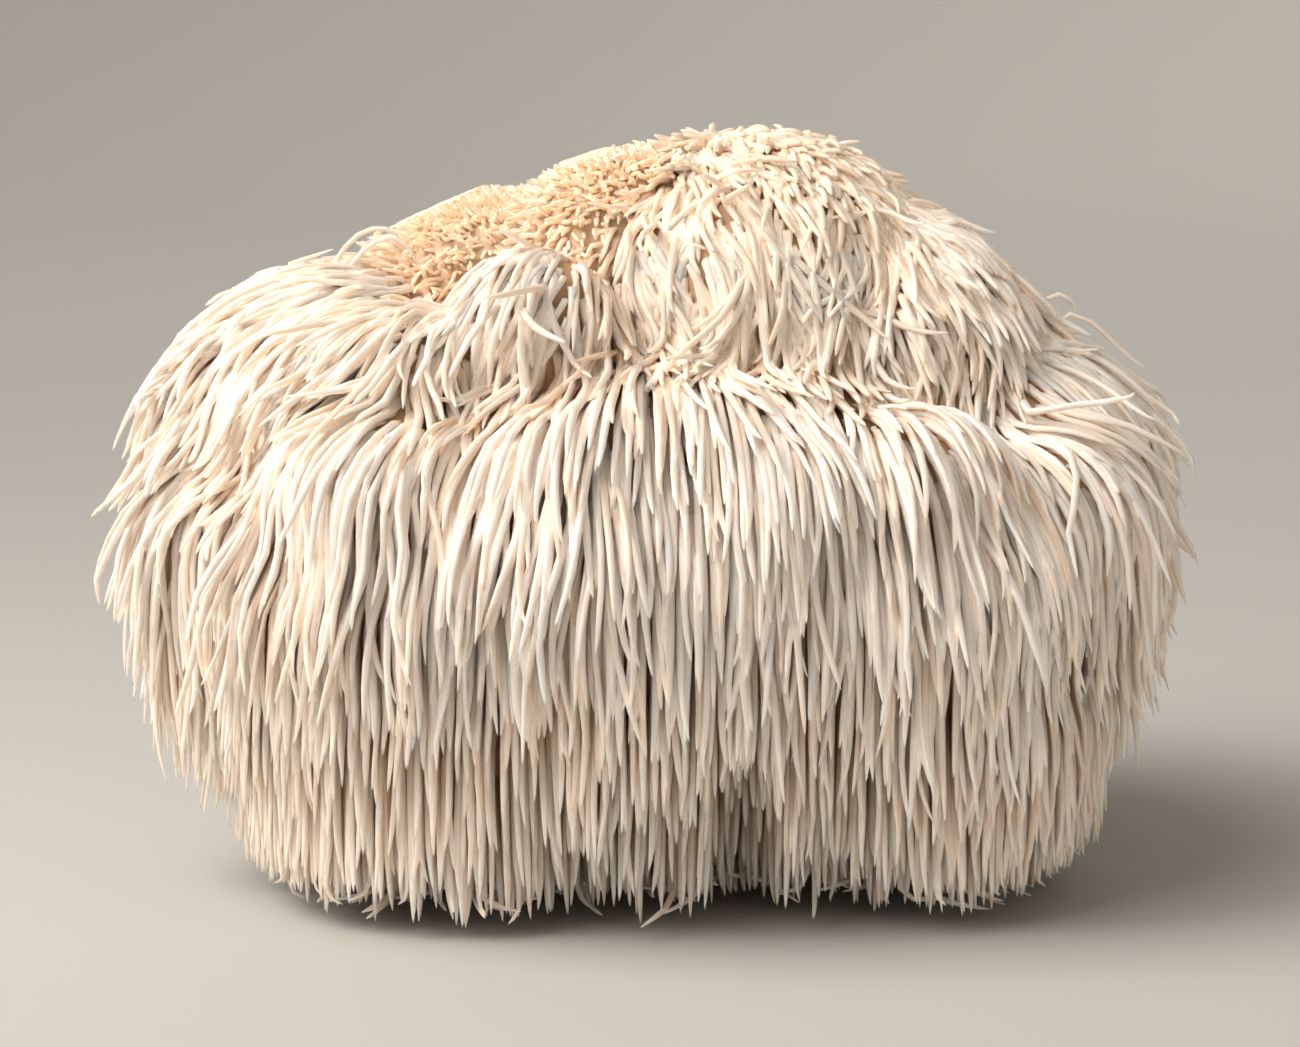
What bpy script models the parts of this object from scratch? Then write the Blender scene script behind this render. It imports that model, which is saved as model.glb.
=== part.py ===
# Lion's mane mushroom, picked: one lobed fruiting body with its hanging spines as locks.
# Metres, +Z up, front towards -Y. The origin is on the cut foot, under the middle of the box.

import random

import bmesh
import bpy
from mathutils import Vector
from mathutils.bvhtree import BVHTree

MM = 0.001
WIDTH = 180 * MM
DEPTH = 150 * MM
HEIGHT = 124 * MM

# Each lobe of flesh: its centre and its three radii, in per cent of the width, depth and height.
LOBES = {
    "belly": ((0, 0, 42), (43.5, 46, 37)),
    "foot": ((0, 1, 14), (28, 28, 19)),
    "crown": ((9, 2, 73), (20, 24, 26.5)),
    "crown_right": ((22.5, 0, 68), (14, 20, 21)),
    "crown_left": ((-2.5, 4, 78), (10, 12, 15)),
    "yellow_ridge": ((-14, 7, 75), (12, 13, 15)),
    "left_shoulder": ((-28, 0, 59), (17, 25, 23)),
    "right_shoulder": ((32, 0, 55), (15, 23, 21)),
    "mid_knob": ((-10, -17, 74), (8, 9.5, 11.5)),
    "left_knob": ((-21, -20, 68), (7.5, 9.5, 10)),
    "front_rim_left": ((-23, -26, 55), (12, 16, 15)),
    "front_rim_middle": ((-7, -31, 56), (11, 14, 13)),
    "front_rim_dip": ((11, -32, 52), (10, 13, 13)),
    "front_rim_right": ((23, -27, 55), (10, 15, 14)),
    "right_flank": ((35, -17, 50), (11, 16, 16)),
    "left_flank": ((-37, -10, 48), (10, 17, 18)),
    "back_left": ((-23, 25, 53), (14.5, 18, 21)),
    "back_middle": ((2, 30, 55), (15.5, 16, 21)),
    "back_right": ((26, 25, 52), (14.5, 17, 21)),
    "skirt_left": ((-17, -13, 25), (25, 32, 23)),
    "skirt_right": ((25, -13, 25), (19, 30, 23)),
}
# The share of its radius that a lobe keeps where spines cover it.
UNDER_SPINES = 0.96
# The dark cleft between the two front skirts, cut out of the flesh.
CLEFT = ((8, -53, 2), (4.5, 28, 24))
FLESH_VOXEL = 2.2 * MM
FLESH_ROUNDING = 14
FLESH_KEPT_FACES = 0.12

# What the tips of the spines reach: height, leftmost and rightmost point, and half depth, in mm.
OUTLINE = (
    (0, -62, 65, 61),
    (10, -73, 78, 68),
    (20, -82, 83, 71),
    (30, -85, 86, 73),
    (40, -88, 88, 74),
    (60, -90, 88, 75),
    (70, -87, 87, 74),
    (80, -82, 83, 71),
    (90, -75, 75, 64),
    (98, -65, 60, 54),
    (105, -45, 53, 44),
    (113, -27, 44, 35),
    (120, -4, 35, 24),
    (125, 8, 18, 10),
)
# From above the outline is between an ellipse, which has 2 here, and a rectangle.
SQUARENESS = 2.7
# A lock's middle line keeps this far inside the outline.
INSIDE_OUTLINE = 4 * MM

# The spines hang in locks. A lock is short and close on the crown, and long on the sides.
# Flesh counts as side where its normal's height is under the first slope, as crown over the second.
SIDE_SLOPE = 0.15
CROWN_SLOPE = 0.75
SIDE_SPACING = 9.5 * MM
CROWN_SPACING = 7.5 * MM
SIDE_LENGTH = 28 * MM
CROWN_LENGTH = 9 * MM
LENGTH_SPREAD = 0.12
LEAST_LENGTH = 6 * MM
LOWEST_TIP = 1.2 * MM
ROOT_DEPTH = 2.5 * MM
# A lock's width is a share of the spacing, its thickness a share of its width.
LOCK_WIDTH = 0.98
LOCK_THICKNESS = 0.55
LOCK_PROFILE = (0.7, 1.0, 0.95, 0.6, 0.0)
# The tip stands off the flesh by this share of the lock's length.
TIP_STAND_OFF = 0.27
# How far a lock starts outwards, and how fast its weight bends it down.
OUTWARD_START = 0.6
SAG = 0.5
TRIES = 30000
SEED = 23

# The whole, grown together, and the ground it was cut from.
BODY_VOXEL = 1.6 * MM
BODY_ROUNDING = 1
BODY_KEPT_FACES = 0.07
GROUND_DEPTH = 40 * MM

FLESH_COLOUR = (0.86, 0.76, 0.62)
FLESH_ROUGHNESS = 0.6
DOWN = Vector((0, 0, -1))


def sized(percent):
    return Vector((percent[0] * WIDTH, percent[1] * DEPTH, percent[2] * HEIGHT)) / 100


def between(low, high, share):
    return low + (high - low) * share


def flesh_material():
    made = bpy.data.materials.new("flesh")
    made.use_nodes = True
    shader = made.node_tree.nodes["Principled BSDF"]
    shader.inputs["Base Color"].default_value = (*FLESH_COLOUR, 1)
    shader.inputs["Roughness"].default_value = FLESH_ROUGHNESS
    return made


def add_object(name, builder):
    mesh = bpy.data.meshes.new(name)
    builder.to_mesh(mesh)
    builder.free()
    obj = bpy.data.objects.new(name, mesh)
    bpy.context.scene.collection.objects.link(obj)
    return obj


def hide(obj):
    obj.hide_render = True
    obj.display_type = "WIRE"
    return obj


def evaluated(obj):
    """The object's mesh with its modifiers."""
    graph = bpy.context.evaluated_depsgraph_get()
    return bpy.data.meshes.new_from_object(obj.evaluated_get(graph))


def grow_together(obj, voxel):
    modifier = obj.modifiers.new("grown together", "REMESH")
    modifier.mode = "VOXEL"
    modifier.voxel_size = voxel


def soften(obj, iterations):
    modifier = obj.modifiers.new("softened", "SMOOTH")
    modifier.iterations = iterations


def keep_faces(obj, ratio):
    modifier = obj.modifiers.new("fewer faces", "DECIMATE")
    modifier.ratio = ratio


def cut(obj, cutter):
    modifier = obj.modifiers.new(cutter.name, "BOOLEAN")
    modifier.operation = "DIFFERENCE"
    modifier.object = cutter


def add_lobe(builder, centre, radii):
    ball = bmesh.ops.create_icosphere(builder, subdivisions=4, radius=UNDER_SPINES)["verts"]
    bmesh.ops.scale(builder, vec=sized(radii), verts=ball)
    bmesh.ops.translate(builder, vec=sized(centre), verts=ball)


def make_flesh():
    """The flesh under the spines: all lobes grown together, rounded where they meet."""
    builder = bmesh.new()
    for centre, radii in LOBES.values():
        add_lobe(builder, centre, radii)
    flesh = hide(add_object("flesh", builder))
    grow_together(flesh, FLESH_VOXEL)
    builder = bmesh.new()
    add_lobe(builder, *CLEFT)
    cut(flesh, hide(add_object("cleft", builder)))
    soften(flesh, FLESH_ROUNDING)
    keep_faces(flesh, FLESH_KEPT_FACES)
    return evaluated(flesh)


def crown_share(normal):
    """0 on the sides, 1 on the crown, smooth between."""
    t = min(1, max(0, (normal.z - SIDE_SLOPE) / (CROWN_SLOPE - SIDE_SLOPE)))
    return t * t * (3 - 2 * t)


def outline_at(height):
    """The leftmost and rightmost point and the half depth at a height."""
    for (low, *below), (high, *above) in zip(OUTLINE, OUTLINE[1:]):
        if height <= high * MM:
            share = max(0, (height / MM - low) / (high - low))
            return [between(a, b, share) * MM for a, b in zip(below, above)]
    return [value * MM for value in OUTLINE[-1][1:]]


def beyond_outline(point):
    """How far a point is past the outline, as a share of the half width there; under 0 inside."""
    left, right, half_depth = outline_at(point.z)
    across = (point.x - (left + right) / 2) / ((right - left) / 2 - INSIDE_OUTLINE)
    through = point.y / (half_depth - INSIDE_OUTLINE)
    return (abs(across) ** SQUARENESS + abs(through) ** SQUARENESS) ** (1 / SQUARENESS) - 1


def root_points(mesh, chance):
    """Scattered points on the flesh with their normals, no two nearer than the spacing there."""
    mesh.calc_loop_triangles()
    triangles = [[mesh.vertices[i].co.copy() for i in t.vertices] for t in mesh.loop_triangles]
    areas = [t.area for t in mesh.loop_triangles]
    found = []
    for a, b, c in chance.choices(triangles, areas, k=TRIES):
        u, v = chance.random(), chance.random()
        if u + v > 1:
            u, v = 1 - u, 1 - v
        point = a + (b - a) * u + (c - a) * v
        normal = (b - a).cross(c - a).normalized()
        gap = between(SIDE_SPACING, CROWN_SPACING, crown_share(normal))
        clear = all((point - other).length > gap for other, _, _ in found)
        if clear and point.z > LEAST_LENGTH + LOWEST_TIP:
            found.append((point, normal, gap))
    return found


def hang(root, normal, length, skin):
    """The line of one lock: out of the flesh, then bent down by its weight, clear of the flesh."""
    steps = len(LOCK_PROFILE) - 2
    step = length / steps
    heading = (normal * OUTWARD_START + DOWN).normalized()
    line = [root - normal * ROOT_DEPTH]
    outwards = [normal]
    point = root
    for i in range(steps + 1):
        if i > 0:
            point = point + heading * step
        near, out, _, _ = skin.find_nearest(point)
        clear = TIP_STAND_OFF * step * i
        point = point + out * max(0, clear - (point - near).dot(out))
        inwards = 1 / (1 + max(0, beyond_outline(point)))
        point = Vector((point.x * inwards, point.y * inwards, max(point.z, LOWEST_TIP)))
        line.append(point)
        outwards.append(out)
        heading = heading.lerp(DOWN, SAG).normalized()
    return line, outwards


def add_lock(builder, line, outwards, width):
    """A four-sided lock around its line, with a ridge on its outer side, drawn out to a tip."""
    rings = []
    for i in range(len(line) - 1):
        along = (line[i + 1] - line[max(i - 1, 0)]).normalized()
        side = along.cross(outwards[i]).normalized()
        out = side.cross(along).normalized()
        half = width / 2 * LOCK_PROFILE[i]
        corners = (side, out * LOCK_THICKNESS * 2, -side, -out * LOCK_THICKNESS)
        rings.append([builder.verts.new(line[i] + corner * half) for corner in corners])
    builder.faces.new(rings[0])
    for above, below in zip(rings, rings[1:]):
        for k in range(4):
            builder.faces.new((above[k - 1], below[k - 1], below[k], above[k]))
    tip = builder.verts.new(line[-1])
    for k in range(4):
        builder.faces.new((rings[-1][k - 1], tip, rings[-1][k]))


def add_locks(builder, flesh):
    chance = random.Random(SEED)
    skin = BVHTree.FromBMesh(builder)
    for point, normal, gap in root_points(flesh, chance):
        length = between(SIDE_LENGTH, CROWN_LENGTH, crown_share(normal))
        length *= chance.uniform(1 - LENGTH_SPREAD, 1 + LENGTH_SPREAD)
        length = min(length, point.z - LOWEST_TIP)
        line, outwards = hang(point, normal, length, skin)
        add_lock(builder, line, outwards, gap * LOCK_WIDTH)
    bmesh.ops.recalc_face_normals(builder, faces=builder.faces)


def keep_largest(builder):
    """Leaves the largest connected piece, without the crumbs of tips that came loose."""
    left = set(builder.verts)
    pieces = []
    while left:
        piece = {left.pop()}
        edge = list(piece)
        while edge:
            near = {e.other_vert(v) for v in edge for e in v.link_edges} - piece
            piece |= near
            edge = list(near)
        left -= piece
        pieces.append(piece)
    largest = max(pieces, key=len)
    crumbs = [v for v in builder.verts if v not in largest]
    bmesh.ops.delete(builder, geom=crumbs, context="VERTS")


def make_ground():
    builder = bmesh.new()
    bmesh.ops.create_cube(builder, size=1)
    bmesh.ops.scale(builder, vec=(2 * WIDTH, 2 * DEPTH, GROUND_DEPTH), verts=builder.verts)
    bmesh.ops.translate(builder, vec=(0, 0, -GROUND_DEPTH / 2), verts=builder.verts)
    return hide(add_object("ground", builder))


def main():
    for obj in list(bpy.data.objects):
        bpy.data.objects.remove(obj)
    flesh = make_flesh()
    builder = bmesh.new()
    builder.from_mesh(flesh)
    add_locks(builder, flesh)
    shaggy = hide(add_object("shaggy", builder))
    grow_together(shaggy, BODY_VOXEL)
    builder = bmesh.new()
    builder.from_mesh(evaluated(shaggy))
    keep_largest(builder)
    body = add_object("fruiting_body", builder)
    body.data.materials.append(flesh_material())
    soften(body, BODY_ROUNDING)
    keep_faces(body, BODY_KEPT_FACES)
    cut(body, make_ground())


main()
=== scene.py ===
import math
import random

import bpy
import numpy as np
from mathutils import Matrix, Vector, noise
from mathutils.bvhtree import BVHTree


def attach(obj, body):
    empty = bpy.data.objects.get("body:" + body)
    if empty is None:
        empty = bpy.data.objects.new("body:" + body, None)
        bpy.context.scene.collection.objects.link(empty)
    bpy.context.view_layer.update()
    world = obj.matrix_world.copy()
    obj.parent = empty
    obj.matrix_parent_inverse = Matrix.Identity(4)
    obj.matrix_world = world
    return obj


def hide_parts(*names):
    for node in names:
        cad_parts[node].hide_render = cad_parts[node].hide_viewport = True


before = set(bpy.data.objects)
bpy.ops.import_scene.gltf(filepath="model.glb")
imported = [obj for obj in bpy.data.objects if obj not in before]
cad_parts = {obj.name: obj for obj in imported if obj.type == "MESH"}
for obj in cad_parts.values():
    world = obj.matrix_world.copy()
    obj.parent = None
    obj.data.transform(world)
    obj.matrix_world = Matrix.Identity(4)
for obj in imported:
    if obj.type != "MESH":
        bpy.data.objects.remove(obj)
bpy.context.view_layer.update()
mm = 0.001
down = Vector((0, 0, -1))
chance = random.Random(7)
noise.seed_set(7)  # or else it starts from the clock, and no two runs are the same


# colours, nodes and small helpers

def clamp(value):
    return max(0, min(1, value))


def linearColour(hexColour):
    channels = [int(hexColour[i:i + 2], 16) / 255 for i in (1, 3, 5)]
    return tuple(c / 12.92 if c <= 0.04045 else ((c + 0.055) / 1.055) ** 2.4 for c in channels) + (1,)


def addNode(tree, kind, sockets=None, **settings):  # sockets: {name or number: value or (node, output)}
    node = tree.nodes.new("ShaderNode" + kind)
    for name, value in settings.items():
        setattr(node, name, value)
    for socket, source in (sockets or {}).items():
        if isinstance(source, tuple) and isinstance(source[0], bpy.types.Node):
            tree.links.new(source[0].outputs[source[1]], node.inputs[socket])
        else:
            node.inputs[socket].default_value = source
    return node


def setRamp(node, stops):  # stops: (place, hex colour)
    ramp = node.color_ramp
    while len(ramp.elements) < len(stops):
        ramp.elements.new(1)
    for element, (place, hexColour) in zip(ramp.elements, stops):
        element.position = place
        element.color = linearColour(hexColour)


def newMaterial(name):
    material = bpy.data.materials.new(name)
    material.use_nodes = True
    material.node_tree.nodes.clear()
    return material, material.node_tree


def selectOnly(chosen):  # the first one is the active one
    if bpy.context.object and bpy.context.object.mode != "OBJECT":
        bpy.ops.object.mode_set(mode="OBJECT")
    bpy.ops.object.select_all(action="DESELECT")
    for thing in chosen:
        thing.select_set(True)
    if chosen:
        bpy.context.view_layer.objects.active = chosen[0]


def startEdit():
    bpy.ops.object.mode_set(mode="EDIT")
    bpy.ops.mesh.select_all(action="SELECT")


def endEdit(inside=False):  # faces turned outwards, or inwards
    bpy.ops.mesh.select_all(action="SELECT")
    bpy.ops.mesh.normals_make_consistent(inside=inside)
    bpy.ops.object.mode_set(mode="OBJECT")


def applyModifier(piece, kind, **settings):
    modifier = piece.modifiers.new(kind.title(), kind)
    for name, value in settings.items():
        setattr(modifier, name, value)
    bpy.context.view_layer.objects.active = piece
    bpy.ops.object.modifier_apply(modifier=modifier.name)


def addAttribute(mesh, name, values):
    attribute = mesh.attributes.new(name, "FLOAT", "POINT")
    attribute.data.foreach_set("value", np.asarray(values, np.float32))


# camera, at the photo's angle

camera = {"lens": 100, "sensor": 36, "target": Vector((0, 0, 57 * mm)), "distance": 604 * mm, "elevation": 8}
bpy.ops.object.camera_add()
cameraObject = bpy.context.object
cameraObject.data.lens = camera["lens"]
cameraObject.data.sensor_width = camera["sensor"]
elevation = math.radians(camera["elevation"])
fromTarget = Vector((0, -math.cos(elevation), math.sin(elevation)))
cameraObject.location = camera["target"] + camera["distance"] * fromTarget
cameraObject.rotation_euler = (math.radians(90) - elevation, 0, 0)
bpy.context.scene.camera = cameraObject


# the flesh that the spines grow from: lobes grown together, a cleft in front and a flat cut foot
# each lobe: centre and radii in per cent of the width, depth and height, then its spines: their length and
# width in mm, how much they stand up and how yellow they are (0 to 1), how many lie over one another, how
# tousled they are, and how strongly they flow away from the middle where the flesh faces up

flesh = {
    "size": Vector((180 * mm, 150 * mm, 124 * mm)),
    "lobes": {
        "belly": ((0, 0, 44), (43.5, 46, 34), 30, 1.18, 0.3, 0, 4.6, 0.04, 1.6),
        "wallLeft": ((-19, -9, 41), (23, 34, 27), 30, 1.18, 0.3, 0, 4.6, 0.03, 1.6),
        "wallRight": ((22, -9, 41), (21, 34, 27), 30, 1.18, 0.3, 0, 4.6, 0.03, 1.6),
        "wallBack": ((2, 11, 41), (34, 33, 27), 30, 1.18, 0.3, 0, 4.6, 0.03, 1.6),
        "foot": ((0, 1, 14), (27, 27, 19), 14, 1.3, 0.3, 0, 3, 0.1, 1),
        "crown": ((9, 2, 73), (20, 24, 26.5), 21, 1.25, 0.35, 0.42, 8, 0.36, 0.4),
        "crownRight": ((22.5, 0, 68), (14, 20, 21), 13, 1.18, 0.45, 0.22, 6.4, 0.34, 0.7),
        "crownLeft": ((-2.5, 0, 79.5), (11, 13.5, 17), 4.6, 0.85, 0.7, 0.9, 3.6, 0.8, 0.7),
        "yellowRidge": ((-14, 6, 75), (12.5, 14, 15.5), 3.6, 0.78, 0.9, 1, 3, 0.9, 0.7),
        "leftShoulder": ((-28, 0, 59), (17, 25, 23), 19, 1.22, 0.4, 0.3, 7.4, 0.38, 1.3),
        "rightShoulder": ((31.5, 0, 54), (15, 23, 21), 22, 1.22, 0.35, 0.1, 6.2, 0.34, 1.3),
        "midKnob": ((-10, -17, 74), (8, 9.5, 11.5), 20, 1.25, 0.4, 0.15, 7, 0.36, 1.1),
        "leftKnob": ((-21, -20, 68), (7.5, 9.5, 10), 19, 1.25, 0.4, 0.25, 7, 0.36, 1.3),
        "frontRimLeft": ((-23, -26, 55), (12, 16, 15), 33, 1.2, 0.4, 0.1, 7.2, 0.13, 2),
        "frontRimMiddle": ((-7, -31, 56), (11, 14, 13), 35, 1.25, 0.5, 0, 7.2, 0.14, 1.4),
        "frontRimDip": ((11, -32, 52), (10, 13, 13), 32, 1.2, 0.4, 0, 7, 0.14, 1.1),
        "frontRimRight": ((23, -27, 55), (10, 15, 14), 33, 1.25, 0.4, 0, 7.2, 0.14, 1.1),
        "rightFlank": ((35, -17, 50), (11, 16, 16), 28, 1.15, 0.35, 0, 6.4, 0.12, 1.2),
        "leftFlank": ((-37, -10, 48), (10, 17, 18), 32, 1.15, 0.35, 0.1, 7.4, 0.12, 1.6),
        "backLeft": ((-23, 25, 53), (14.5, 18, 21), 31, 1.3, 0.3, 0.2, 5.4, 0.1, 1.6),
        "backMiddle": ((2, 30, 55), (15.5, 16, 21), 31, 1.3, 0.3, 0, 5.4, 0.09, 1.6),
        "backRight": ((26, 25, 52), (14.5, 17, 21), 31, 1.3, 0.3, 0.1, 5.4, 0.1, 1.6),
        "skirtLeft": ((-17, -12, 26), (22, 29, 19), 26, 1.15, 0.2, 0, 4.6, 0.04, 1),
        "skirtRight": ((25, -12, 26), (17, 27, 19), 26, 1.15, 0.2, 0, 4.6, 0.04, 1),
    },
    "underSpines": (0.11, 0.19),  # how deep it lies under short and long spines, as a share of their length
    "longSpines": 25 * mm,
    "cleft": ((8, -53, 2), (5, 29, 24)),
    "voxel": 2.1 * mm,
    "smoothing": (0.5, 8),        # strength and rounds
    "creases": 50,                # degrees past which an edge stays sharp
    "blend": 0.045,               # how softly the settings of one lobe's spines pass into the next one's
    "shade": (0.42, 0.3),         # painted shade on the flesh in the open, as it lies in the spines' shade, and how much less where it is yellow
}
feelers = {"directions": 10, "tilts": (0.75, 1.6), "start": 0.5 * mm, "reach": 15 * mm}


def sized(percents):
    return Vector([p * s / 100 for p, s in zip(percents, flesh["size"])])


def fleshRadii(lobe):  # the lobe's radii, less the spines that lie over it
    length = lobe[2] * mm
    return sized(lobe[1]) - Vector((1, 1, 1)) * length * flesh["underSpines"][length > flesh["longSpines"]]


def addEllipsoid(centre, radii):
    bpy.ops.mesh.primitive_ico_sphere_add(subdivisions=4, radius=1, location=centre)
    lobe = bpy.context.object
    lobe.scale = radii
    bpy.ops.object.transform_apply(location=True, rotation=True, scale=True)
    return lobe


def growFlesh():
    selectOnly([])
    lobes = [addEllipsoid(sized(lobe[0]), fleshRadii(lobe)) for lobe in flesh["lobes"].values()]
    selectOnly(lobes)
    bpy.ops.object.join()
    body = bpy.context.object
    body.name = body.data.name = "fleshBody"
    strength, rounds = flesh["smoothing"]
    applyModifier(body, "REMESH", mode="VOXEL", voxel_size=flesh["voxel"])
    applyModifier(body, "SMOOTH", factor=strength, iterations=rounds)
    selectOnly([])
    cleft = addEllipsoid(*[sized(v) for v in flesh["cleft"]])
    applyModifier(body, "BOOLEAN", operation="DIFFERENCE", object=cleft, solver="EXACT")
    bpy.data.objects.remove(cleft)
    selectOnly([body])
    startEdit()
    bpy.ops.mesh.bisect(plane_co=(0, 0, 0), plane_no=(0, 0, 1), clear_inner=True, use_fill=True,
                        threshold=1e-6)
    endEdit()
    bpy.ops.object.shade_smooth_by_angle(angle=math.radians(flesh["creases"]))
    return body


def enclosure(point, normal):  # 0 in the open, towards 1 down in a hollow: the share of rays that hit flesh
    side = normal.orthogonal().normalized()
    other = normal.cross(side)
    hits = 0
    for k in range(feelers["directions"]):
        angle = 2 * k * math.pi / feelers["directions"]
        for tilt in feelers["tilts"]:
            ray = (normal + (side * math.cos(angle) + other * math.sin(angle)) * tilt).normalized()
            hit = fleshTree.ray_cast(point + normal * feelers["start"], ray, feelers["reach"])[0]
            hits += hit is not None
    return hits / (feelers["directions"] * len(feelers["tilts"]))


lobeTable = list(flesh["lobes"].values())
lobeCentres = np.array([sized(lobe[0]) for lobe in lobeTable])
lobeRadii = np.array([fleshRadii(lobe) for lobe in lobeTable])
lobeSpines = np.array([lobe[2:] for lobe in lobeTable])


def spinesAt(points):  # the spines' settings at points on the flesh, from the lobes nearest to them
    apart = np.sqrt((((points[:, None] - lobeCentres) / lobeRadii) ** 2).sum(2)) - 1
    share = np.exp(-apart / flesh["blend"])
    share /= share.sum(1)[:, None]
    return share @ lobeSpines


body = growFlesh()
fleshTree = BVHTree.FromObject(body, bpy.context.evaluated_depsgraph_get())
skin = body.data.vertices
yellows = spinesAt(np.array([v.co for v in skin]))[:, 3]
shadeOpen, shadeYellow = flesh["shade"]
# painted shade on the flesh: darker and warmer in hollows, and at least somewhat everywhere between the spines,
# less where it is yellow
paintedShades = [max(shadeOpen - shadeYellow * y, enclosure(v.co, v.normal)) for v, y in zip(skin, yellows)]
addAttribute(body.data, "yellow", yellows)
addAttribute(body.data, "hollowAndShade", paintedShades)
print("flesh:", len(body.data.polygons), "faces")


# spines modelled once: a round, slightly swollen stem with an icicle's point
# rings: place along the length, share of the width; the last one is closed to a point

spineShapes = {
    "long": {"sides": 5, "rings": ((0, 1.08), (0.16, 1), (0.32, 0.98), (0.48, 1), (0.64, 0.97),
                                   (0.77, 0.91), (0.87, 0.76), (0.94, 0.52), (0.98, 0.26), (1, 0.02))},
    "short": {"sides": 5, "rings": ((0, 1.12), (0.22, 1.02), (0.45, 0.99), (0.66, 0.92), (0.82, 0.76),
                                    (0.93, 0.48), (1, 0.02))},
}


def modelSpine(shape):
    rings = shape["rings"]
    selectOnly([])
    bpy.ops.mesh.primitive_circle_add(vertices=shape["sides"], radius=0.5 * rings[0][1], fill_type="NGON")
    master = bpy.context.object
    startEdit()
    for (low, lowWidth), (high, highWidth) in zip(rings, rings[1:]):
        bpy.ops.mesh.extrude_region_move(TRANSFORM_OT_translate={"value": (0, 0, high - low)})
        bpy.ops.transform.resize(value=(highWidth / lowWidth, highWidth / lowWidth, 1))
    bpy.ops.mesh.merge(type="CENTER")
    endEdit()
    points = np.array([v.co for v in master.data.vertices])
    faces = [list(p.vertices) for p in master.data.polygons]
    bpy.data.objects.remove(master)
    starts = [face.index(min(face)) for face in faces]  # extrude leaves them in another order each run
    return points, sorted(face[k:] + face[:k] for face, k in zip(faces, starts))


masters = {kind: modelSpine(shape) for kind, shape in spineShapes.items()}
print("spines modelled:", {kind: len(faces) for kind, (_, faces) in masters.items()}, "faces")


# where the spines grow: places tried at random on the flesh, and kept where there is room

roots = {
    "tries": 130000,
    "packing": 1.43,   # they never lie as close as they could
    "cell": 4 * mm,    # more than their widest spacing
    "lowest": 3 * mm,  # nothing grows on the cut foot
}
crownTop = {           # heights in mm: from, and over how much more it comes in
    "short": (98, 16), "shorter": 0.6, "facing": 1.3,
    "old": (104, 12), "stand": 0.1, "yellow": 0.25, "tousle": 0.08,  # frizzy and older
    "ridgeYellow": 0.8, "ridgeTousle": 0.6,                          # the ridge is so already
}
apex = {"from": (0.93, 0.04), "top": 0.7, "layers": 0.5, "tousle": 0.25, "shorter": 0.4}
turn = {"facing": 2, "longerThan": 26, "longer": 0.12, "thicker": 0.12, "denser": 0.6}  # where a rim turns over


def settingsAt(points, normals):  # the spines' settings and how far apart they grow
    settings = spinesAt(points)
    length, wide, stand, yellow, layers, tousle, _ = settings.T
    heights = points[:, 2] / mm
    facingUp = np.clip(normals[:, 2], 0, 1)
    start, over = crownTop["short"]
    length *= (1 - crownTop["shorter"] * np.clip(heights - start, 0, over) / over
               * np.clip(facingUp * crownTop["facing"], 0, 1))
    start, over = crownTop["old"]
    top = np.clip(heights - start, 0, over) / over
    stand += crownTop["stand"] * top
    yellow += crownTop["yellow"] * top * (yellow < crownTop["ridgeYellow"])
    tousle += crownTop["tousle"] * top * (tousle < crownTop["ridgeTousle"])
    start, over = apex["from"]
    atApex = np.clip((normals[:, 2] - start) / over, 0, 1) * (top > apex["top"])  # no bare parting there
    layers *= 1 + apex["layers"] * atApex
    tousle += apex["tousle"] * atApex
    length *= 1 - apex["shorter"] * atApex
    turning = np.clip(facingUp * turn["facing"], 0, 1) * (length > turn["longerThan"])
    length *= 1 + turn["longer"] * turning
    wide *= 1 + turn["thicker"] * turning
    density = layers / (length * wide) * (1 + turn["denser"] * turning)
    return settings, np.sqrt(1 / density / roots["packing"]) * mm


def scatterRoots():
    mesh = body.data
    mesh.calc_loop_triangles()
    corners = np.array([[mesh.vertices[i].co[:] for i in t.vertices] for t in mesh.loop_triangles])
    normals = np.array([t.normal[:] for t in mesh.loop_triangles])
    areas = np.array([t.area for t in mesh.loop_triangles])
    picker = np.random.default_rng(11)
    chosen = picker.choice(len(areas), roots["tries"], p=areas / areas.sum())
    a, b = picker.random((2, roots["tries"], 1))
    flip = (a + b) > 1
    a, b = np.where(flip, 1 - a, a), np.where(flip, 1 - b, b)
    corner = corners[chosen]
    points = corner[:, 0] + a * (corner[:, 1] - corner[:, 0]) + b * (corner[:, 2] - corner[:, 0])
    normals = normals[chosen]
    settings, spacing = settingsAt(points, normals)
    cells = (points // roots["cell"]).astype(int)
    grid = {}
    kept = []
    for i, point in enumerate(points):
        if point[2] < roots["lowest"]:
            continue
        x, y, z = cells[i]
        near = [j for dx in (-1, 0, 1) for dy in (-1, 0, 1) for dz in (-1, 0, 1)
                for j in grid.get((x + dx, y + dy, z + dz), ())]
        if near and ((points[near] - point) ** 2).sum(1).min() < spacing[i] ** 2:
            continue
        grid.setdefault((x, y, z), []).append(i)
        kept.append(i)
    return kept, points[kept], normals[kept], settings[kept]


# the lines that they hang in

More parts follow.
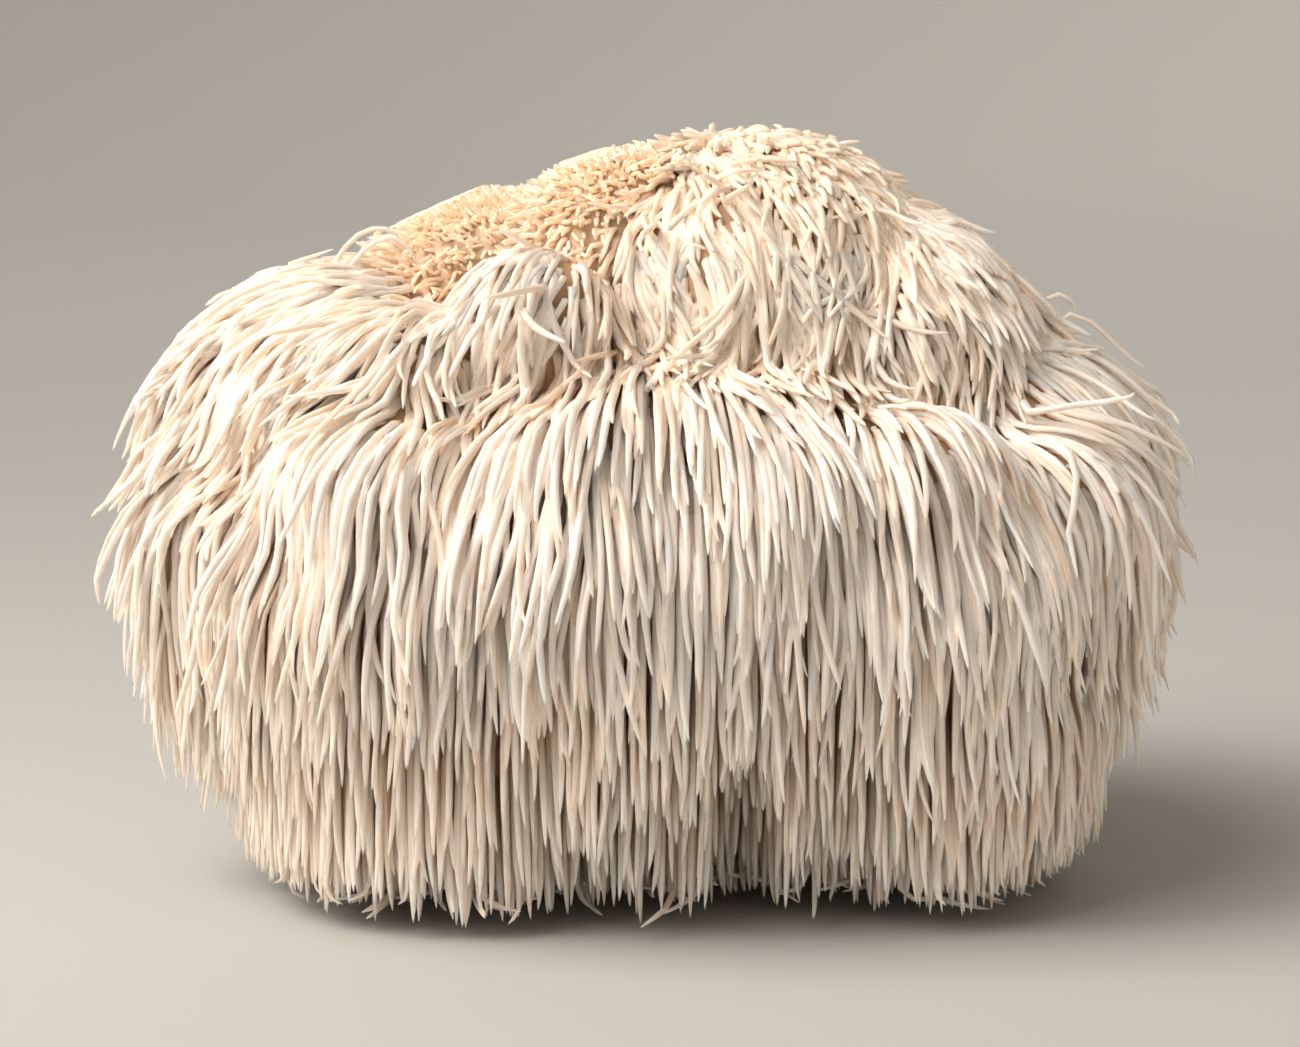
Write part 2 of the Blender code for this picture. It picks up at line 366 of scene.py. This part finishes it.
hang = {
    "steps": 12,
    "fewest": 5,              # points, or it isn't kept
    "rootDepth": 1.5 * mm,
    "spread": 0.2,            # how far a tip lies off the flesh, as a share of the spine's length
    "fullSpread": 30 * mm,    # short ones spread less
    "lift": (0.97, 1.1, 1.03, 1.7),  # the least, how much less when tousled, the most, how much more
    "lockWidth": 13 * mm,     # spines that grow close together lean together and are about as long
    "lockLength": 0.3,
    "lockLean": 0.55,
    "leanFrom": (58, 14),     # mm: further down they all hang straight
    "waves": (15 * mm, 1.6),  # length and strength
    "kinks": (6 * mm, 4),
    "stray": 0.4,
    "curl": 0.15,
    "curlFrom": 0.7,
    "curlTip": 3,
    "loose": (0.1, 2, 1.7),   # share of the tousled ones, how much more they stray and how much higher they lie
    "middle": (7 * mm, 4 * mm),
    "reach": (86 * mm, 70 * mm),
    "fan": (1.3, 1.8),        # in front they hang straighter on the right than on the left
    "straight": 0.4,          # on the front of the crown they hang straight down, not round its dome
    "straightFacing": (0.3, 1.2),
    "straightHeight": (16, 4.2),
    "stiffness": (1.2, 4 * mm),
    "highest": (0.75, 0.3),   # only the short ones on the ridge stand up
    "ridgeStand": 0.65,
    "sideways": (64 * mm, 12 * mm),  # lower down they are pushed straight out, and so hang side by side
    "resting": 0.2,           # share of the tips that bend over on the ground
    "restFrom": 7 * mm,
    "restAt": 2 * mm,
    "tipHeights": (1.2, 1.6, 2.2, 3, 5),  # mm
    # the outline that the tips reach: height, left, right, half depth in mm
    "outline": ((0, -62, 65, 61), (10, -73, 78, 68), (20, -82, 83, 71), (30, -85, 86, 73),
                (40, -88, 88, 74), (60, -90, 88, 75), (70, -87, 87, 74), (80, -82, 83, 71),
                (90, -75, 75, 64), (98, -65, 60, 54), (105, -45, 53, 44), (113, -27, 44, 35),
                (120, -4, 35, 24), (125, 8, 18, 10)),
    "squareness": 2.7,
    "trimBelow": 45 * mm,     # down there they end at the outline, and higher up they bend in to it
    "slack": 1.02,
    "cleftShare": 0.85,
}
outline = np.array(hang["outline"]) * mm
cleftCentre, cleftRadii = (sized(v) for v in flesh["cleft"])


def outlineShare(point):  # 1 on the outline, less inside it
    left, right, half = (np.interp(point[2], outline[:, 0], outline[:, i]) for i in (1, 2, 3))
    middle = (left + right) / 2
    reach = (right - left) / 2
    e = hang["squareness"]
    return (abs((point[0] - middle) / reach) ** e + abs(point[1] / half) ** e) ** (1 / e)


def awayFromMiddle(root):
    shares = [(root[k] - hang["middle"][k]) / hang["reach"][k] for k in (0, 1)]
    power = hang["fan"][0] if root.x < 0 else hang["fan"][1]
    return Vector([math.copysign(abs(v) ** power, v) for v in shares] + [0]).normalized()


def straightness(root, normal):
    facing, slope = hang["straightFacing"]
    over, start = hang["straightHeight"]
    return hang["straight"] * clamp(facing - slope * normal.y) * clamp(root.z / mm / over - start)


def hangSpine(root, normal, length, stand, tousle, flow):  # the points of its line, from root to tip
    steps = hang["steps"]
    lock = noise.noise_vector(root / hang["lockWidth"])
    step = length * (1 + hang["lockLength"] * lock.z) / steps
    lean = Vector((lock.x, lock.y, 0)) * hang["lockLean"]
    stray = Vector([chance.gauss(0, hang["stray"] * tousle) for _ in range(3)])
    curl = Vector((chance.gauss(0, hang["curl"]), chance.gauss(0, hang["curl"]), 0)) * (1 + tousle)
    least, lower, most, higher = hang["lift"]
    lift = chance.uniform(least - lower * tousle, most + higher * tousle) * min(1, length / hang["fullSpread"])
    looseShare, moreStray, moreLift = hang["loose"]
    if chance.random() < looseShare * tousle:
        stray, lift = stray * moreStray, lift * moreLift
    resting = chance.random() < hang["resting"]
    lowest = (hang["tipHeights"][0] if resting else chance.choice(hang["tipHeights"])) * mm
    outward = awayFromMiddle(root)
    slide = down + outward * flow * max(0, normal.z)
    slide = (slide - normal * slide.dot(normal)).normalized()
    straight = straightness(root, normal)
    slide.x *= 1 - straight
    heading = (normal * (0.2 + stand) + slide * (1 - 0.5 * stand) + stray).normalized()
    point = root
    line = [root - normal * hang["rootDepth"], root]
    limpness, bend = hang["stiffness"]
    pull = min(1, (limpness - stand) * step / bend)
    away = normal
    for i in range(1, steps + 1):
        wave = noise.noise_vector(point / hang["waves"][0]) * hang["waves"][1] * tousle
        wave += noise.noise_vector(point / hang["kinks"][0]) * hang["kinks"][1] * tousle ** 2
        aim = down + outward * flow * max(0, away.z) + wave + stray * (1 + i / steps)
        aim += lean * clamp((point.z / mm - hang["leanFrom"][0]) / hang["leanFrom"][1])
        aim += curl * max(0, i / steps - hang["curlFrom"]) * hang["curlTip"]
        heading = heading.lerp(aim.normalized(), pull).normalized()
        if i > 2:
            heading.z = min(heading.z, hang["highest"][0] if stand > hang["ridgeStand"] else hang["highest"][1])
        if resting and point.z < hang["restFrom"]:
            heading = (heading + outward * 0.5 + curl * 5).normalized()
            heading.z *= max(0, point.z - hang["restAt"]) / hang["restFrom"]
        after = point + heading * step
        near, away, _, _ = fleshTree.find_nearest(after)
        gap = (after - near).dot(away)
        need = hang["spread"] * lift * i * step
        if gap < need:
            push = away.lerp(outward, clamp((hang["sideways"][0] - after.z) / hang["sideways"][1]))
            push.x *= 1 - straight
            after += push.normalized() * min(need - gap, step)
        heading = (after - point).normalized()
        point = point + heading * step
        share = outlineShare(point)
        inCleft = sum(((point[k] - cleftCentre[k]) / cleftRadii[k]) ** 2 for k in range(3))
        if point.z < hang["trimBelow"] and share > 1 or point.z < lowest or inCleft < hang["cleftShare"]:
            break
        if share > hang["slack"]:
            point = Vector((point.x / share * hang["slack"], point.y / share * hang["slack"], point.z))
        line.append(point)
    return line, len(line) >= hang["fewest"]


# copies of the modelled spines bent along the lines, and joined into pieces

variety = {
    "crownLength": 17,       # mm: shorter ones are made from the short shape
    "hollowBelow": 27,       # mm: those that are shorter still grow less in a hollow
    "hollowShorter": 0.5,
    "hollowBare": 0.4,
    "length": (0.1, 0.4),    # how much it varies, and how much more when tousled
    "widths": (0.8, 0.92, 1, 1.06, 1.12),
    "flat": (0.75, 1),
    "swells": (8, 20),       # how many there are, as an angle
    "swell": 0.07,
    "fused": 1.3,            # how much thicker tousled ones are at the root, where several join
    # painted shade towards the root: the least there is, and how much more where the flesh faces down
    "coveredShade": (0.2, 2),
}


def along(line, places, values):
    return np.stack([np.interp(places, line, values[:, k]) for k in range(3)], 1)


def bendSpines(master, chosen):
    heights = master[:, 2]
    allPoints = []
    for spine in chosen:
        line = np.array(spine["line"])
        lengths = np.concatenate(([0], np.cumsum(np.linalg.norm(np.diff(line, axis=0), axis=1))))
        places = heights * lengths[-1]
        centre = along(lengths, places, line)
        tangent = along(lengths, places, np.gradient(line, axis=0))
        tangent /= np.linalg.norm(tangent, axis=1)[:, None]
        side = np.cross(tangent, spine["across"])
        side /= np.linalg.norm(side, axis=1)[:, None]
        out = np.cross(side, tangent)
        swell = 1 + variety["swell"] * np.sin(heights * spine["swells"] + spine["tint"] * 40)[:, None]
        swell += spine["fused"] * (1 - heights[:, None]) ** 3
        allPoints.append(centre + spine["width"] * swell
                         * (master[:, :1] * side * spine["flat"] + master[:, 1:2] * out))
    return np.concatenate(allPoints)


def makePiece(name, kind, chosen):
    master, masterFaces = masters[kind]
    points = bendSpines(master, chosen)
    faces = [[v + len(master) * k for v in f] for k in range(len(chosen)) for f in masterFaces]
    mesh = bpy.data.meshes.new(name)
    mesh.from_pydata(points.tolist(), [], faces)
    addAttribute(mesh, "alongSpine", np.tile(master[:, 2], len(chosen)))
    for attribute in ("tint", "yellow", "hollowAndShade", "coveredShade"):
        addAttribute(mesh, attribute, np.repeat([spine[attribute] for spine in chosen], len(master)))
    mesh.polygons.foreach_set("use_smooth", np.ones(len(mesh.polygons), bool))
    mesh.update()
    piece = bpy.data.objects.new(name, mesh)
    bpy.context.collection.objects.link(piece)
    print(name, len(chosen), "spines", sum(len(f) - 2 for f in faces), "triangles")
    return piece


spines = []
for seed, root, normal, (length, wide, stand, yellow, _, tousle, flow) in zip(*scatterRoots()):
    chance.seed(seed)  # each has its own, so a change to one leaves the others as they are
    root, normal = Vector(root), Vector(normal)
    # how deep in a hollow it grows: short ones grow shorter there and some are left out, and it sets their
    # painted shade
    hollowAndShade = enclosure(root, normal)
    if length < variety["hollowBelow"]:
        length *= 1 - variety["hollowShorter"] * hollowAndShade
    vary = variety["length"][0] + variety["length"][1] * tousle
    drawnLength = length * mm * chance.uniform(1 - vary, 1 + vary)
    line, good = hangSpine(root, normal, drawnLength, stand, tousle, flow)
    if not good or chance.random() < hollowAndShade - variety["hollowBare"]:
        continue
    across = normal.cross(down)
    leastCovered, slope = variety["coveredShade"]
    spines.append({
        "line": line,
        "length": length,
        "width": wide * mm * chance.choice(variety["widths"]),
        "flat": chance.uniform(*variety["flat"]),
        "across": across.normalized() if across.length > 0.05 else Vector((1, 0, 0)),
        "yellow": yellow,
        # painted shade in hollows, less where it is yellow
        "hollowAndShade": hollowAndShade * (1 - 0.6 * yellow),
        "tint": chance.random(),
        "swells": chance.uniform(*variety["swells"]),
        "fused": variety["fused"] * tousle * (yellow < 0.5),
        # 1 where the spines above lie over its upper part: there it gets painted shade, darker and warmer
        # towards its root
        "coveredShade": min(1, max(leastCovered, 1 - slope * normal.z)) * (1 - 1.2 * min(tousle, 0.5)),
        "turn": math.degrees(math.atan2(root.x, -root.y)),  # 0 in front, 90 on the right
        "left": root.x < hang["middle"][0],
    })
# loose ones that stand out against the background: points in mm from root to tip
looseSpines = (
    ((-53, -4, 99), (-49.8, -3, 104.4), (-47.2, -3, 106.1), (-44.3, -3, 106.8), (-41.8, -3, 105.9),
     (-40.8, -3, 103.8)),
    ((-50, -7, 99), (-47.5, -7, 103), (-44, -7, 105.2), (-41.5, -7, 105.6), (-39, -7, 103.4),
     (-38.4, -7, 101)),
    ((-63, -4, 92), (-66.5, -5, 96.4), (-69.9, -6, 96.2), (-73, -7, 94)),
    ((-80, 0, 68), (-86.2, 0, 64.3), (-88.3, 0, 62.9), (-90.6, 0, 61.8)),
    ((62, 2, 88), (64.4, 2, 93), (66.3, 2, 95.2), (68.6, 2, 95.4), (70.6, 2, 93.9), (71.6, 2, 91.4)),
    ((64, -3, 87), (67.5, -3, 92), (70.4, -3, 93), (74.2, -3, 90.2), (78.6, -3, 85.4), (82.5, -3, 83)),
    ((45, 0, 108), (50.2, -1, 108.4), (53.5, -2, 106.4), (57, -2, 105.6)),
    ((27, 0, 117), (31, 0, 120.2), (34.8, 0, 120.6)),
    ((-11, -8, 108), (-10.5, -8, 114), (-6, -8, 118.4), (-3.4, -8, 119)),
)
for points in looseSpines:
    path = np.array(points) * mm
    line = along(np.linspace(0, 1, len(path)), np.linspace(0, 1, hang["steps"] + 2), path)
    for _ in range(3):  # rounded off
        line[1:-1] = (line[:-2] + 2 * line[1:-1] + line[2:]) / 4
    spines.append({
        "line": line.tolist(), "length": 20, "width": 1.05 * mm, "flat": 0.9, "across": Vector((0, 1, 0)),
        "yellow": 0.2, "hollowAndShade": 0, "tint": 0.6, "swells": 12, "fused": 0, "coveredShade": 0.2,
        "turn": math.degrees(math.atan2(path[0][0], -path[0][1])), "left": path[0][0] < hang["middle"][0],
    })
print("spines:", len(spines))

long = [s for s in spines if s["length"] >= variety["crownLength"]]
short = [s for s in spines if s["length"] < variety["crownLength"]]
sectors = {
    "spinesFrontLeft": (-60, 0), "spinesFrontRight": (0, 60), "spinesRight": (60, 120),
    "spinesBackRight": (120, 181), "spinesBackLeft": (-181, -120), "spinesLeft": (-120, -60),
}
pieces = [body]
for name, (start, end) in sectors.items():
    pieces.append(makePiece(name, "long", [s for s in long if start < s["turn"] <= end]))
pieces.append(makePiece("spinesCrownLeft", "short", [s for s in short if s["left"]]))
pieces.append(makePiece("spinesCrownRight", "short", [s for s in short if not s["left"]]))


# raw mushroom flesh: moist, waxy and translucent, creamy white, warmer where it is old
# so light goes in about a millimetre, and its gloss is soft, as on wax; painted shade makes it darker and
# warmer where it is deep, in hollows and towards the spines' roots

look = {
    "patches": 45,         # per metre: the yellow comes in patches of about 22 mm
    "grain": 700,          # per metre: about 1.4 mm, coarser than the real one, so that it shows
    "grainStrength": 0.25,
    "grainDepth": 0.2 * mm,
    "hollowAndShade": (0.1, 0.55),  # where the painted shade of a hollow comes in, and where it is full
    "roughness": 0.45,
    "ior": 1.4,            # mostly water
    "scatter": (1.0, 0.78, 0.6),
    "scatterDepth": 1.3 * mm,
}
spineColours = {
    # painted shade: darker and warmer towards the root, where other spines lie over it
    "lengthwiseShade": ((0, "#C4A27D"), (0.35, "#E2CCB2"), (0.65, "#F4EADF"), (0.84, "#FDFAF7"), (1, "#FBF6F0")),
    "own": ((0, "#F8EEE4"), (0.4, "#FBF6F1"), (1, "#FDFCFA")),
    "yellow": "#FBE3C2",
    # painted shade: the colour in hollows
    "hollowAndShade": "#F3DABC",
}
bodyColours = {
    "lengthwiseShade": ((0, "#FFFFFF"), (1, "#FFFFFF")),
    "own": ((0, "#F1DAC0"), (1, "#F1DAC0")),
    "yellow": "#F7E1BC",
    # painted shade of the flesh between the spines and in hollows
    "hollowAndShade": "#E2B17C",
}


def fleshMaterial(name, colours):
    material, tree = newMaterial(name)
    multiply = {"data_type": "RGBA", "blend_type": "MULTIPLY"}
    place = addNode(tree, "TexCoord")
    alongSpine, tint, yellow, hollowAndShade, coveredShade = [
        addNode(tree, "Attribute", attribute_name=attribute)
        for attribute in ("alongSpine", "tint", "yellow", "hollowAndShade", "coveredShade")]
    lengthwiseShade = addNode(tree, "ValToRGB", {"Fac": (alongSpine, "Fac")})
    setRamp(lengthwiseShade, colours["lengthwiseShade"])
    own = addNode(tree, "ValToRGB", {"Fac": (tint, "Fac")})
    setRamp(own, colours["own"])
    # painted shade towards the root, as much as the spine is covered, over its own tone
    tintedAndShaded = addNode(tree, "Mix", {0: (coveredShade, "Fac"), 6: (own, "Color"), 7: (lengthwiseShade, "Color")},
                     **multiply)
    patches = addNode(tree, "TexNoise", {"Vector": (place, "Object"), "Scale": look["patches"], "Detail": 3})
    amount = addNode(tree, "Math", {0: (yellow, "Fac"), 1: (patches, "Fac")}, operation="MULTIPLY")
    yellowed = addNode(tree, "Mix", {0: (amount, 0), 6: (tintedAndShaded, 2), 7: linearColour(colours["yellow"])},
                       **multiply)
    # painted shade: darker and warmer in hollows
    start, end = look["hollowAndShade"]
    depth = addNode(tree, "MapRange", {0: (hollowAndShade, "Fac"), 1: start, 2: end, 3: 0.0, 4: 1.0})
    deep = addNode(tree, "Mix", {0: (depth, 0), 6: (yellowed, 2), 7: linearColour(colours["hollowAndShade"])},
                   **multiply)
    grain = addNode(tree, "TexNoise", {"Vector": (place, "Object"), "Scale": look["grain"], "Detail": 2})
    bump = addNode(tree, "Bump", {"Strength": look["grainStrength"], "Distance": look["grainDepth"],
                                  "Height": (grain, "Fac")})
    shader = addNode(tree, "BsdfPrincipled", {
        "Base Color": (deep, 2), "Roughness": look["roughness"], "IOR": look["ior"], "Normal": (bump, 0),
        "Subsurface Weight": 1.0, "Subsurface Radius": look["scatter"],
        "Subsurface Scale": look["scatterDepth"],
    }, subsurface_method="BURLEY")
    addNode(tree, "OutputMaterial", {"Surface": (shader, 0)})
    return material


spineMaterial = fleshMaterial("waxyFleshSpines", spineColours)
bodyMaterial = fleshMaterial("waxyFleshBody", bodyColours)
for piece in pieces:
    piece.data.materials.clear()
    piece.data.materials.append(bodyMaterial if piece is body else spineMaterial)
    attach(piece, "root")
    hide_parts("fruiting_body")
print("materials done")


# plain pale floor, painted matt so that it has no gloss, and soft studio light

studio = {
    "floor": "#D2D0CC", "roughness": 0.9, "floorRadius": 1.9, "bend": 0.6, "wall": 0.5,
    # the direction it shines in, spread in degrees, strength and colour
    "key": {"direction": (0.95, 0.4, -1.1), "spread": 60, "strength": 1.7, "colour": "#FFF9F1"},
    # on the key light's side, so that the far side is darker
    "softbox": {"distance": 0.5, "size": 0.3, "power": 1.35},
    "world": {"colour": "#EFE8DE", "strength": 0.33},
}
selectOnly([])
bpy.ops.mesh.primitive_circle_add(vertices=128, radius=studio["floorRadius"], location=(0, 0, 0))
floor = bpy.context.object
floor.name = floor.data.name = "floor"
startEdit()
bend, radius, rise = studio["bend"], studio["floorRadius"], 0
for angle in np.radians(np.arange(9, 91, 9)):  # the edge curves up into a wall all round
    newRadius, newRise = studio["floorRadius"] + bend * math.sin(angle), bend * (1 - math.cos(angle))
    bpy.ops.mesh.extrude_region_move(TRANSFORM_OT_translate={"value": (0, 0, newRise - rise)})
    bpy.ops.transform.resize(value=(newRadius / radius, newRadius / radius, 1))
    radius, rise = newRadius, newRise
bpy.ops.mesh.extrude_region_move(TRANSFORM_OT_translate={"value": (0, 0, studio["wall"])})
bpy.ops.mesh.select_all(action="DESELECT")
bpy.ops.object.mode_set(mode="OBJECT")
for vertex in floor.data.vertices:
    vertex.select = vertex.co.z < mm
bpy.ops.object.mode_set(mode="EDIT")
bpy.ops.mesh.edge_face_add()
endEdit(inside=True)
bpy.ops.object.shade_smooth()
floorMaterial, floorTree = newMaterial("mattPaintedFloor")
floorShader = addNode(floorTree, "BsdfPrincipled", {
    "Base Color": linearColour(studio["floor"]), "Roughness": studio["roughness"]})
addNode(floorTree, "OutputMaterial", {"Surface": (floorShader, 0)})
floor.data.materials.append(floorMaterial)

key, box = studio["key"], studio["softbox"]
keyDirection = Vector(key["direction"]).normalized()
bpy.ops.object.light_add(type="SUN", location=-keyDirection)
keyLight = bpy.context.object
keyLight.name = "keyLight"
keyLight.data.angle = math.radians(key["spread"])
keyLight.data.energy = key["strength"]
bpy.ops.object.light_add(type="AREA", location=camera["target"] - keyDirection * box["distance"])
softbox = bpy.context.object
softbox.name = "softboxLight"
softbox.data.size = box["size"]
softbox.data.energy = box["power"]
for light in (keyLight, softbox):
    light.data.color = linearColour(key["colour"])[:3]
    light.rotation_euler = keyDirection.to_track_quat("-Z", "Y").to_euler()
world = bpy.data.worlds.new("studioWorld")
world.use_nodes = True
background = world.node_tree.nodes["Background"]
background.inputs["Color"].default_value = linearColour(studio["world"]["colour"])
background.inputs["Strength"].default_value = studio["world"]["strength"]
bpy.context.scene.world = world
bpy.context.scene.view_settings.view_transform = "Standard"
print("studio done")
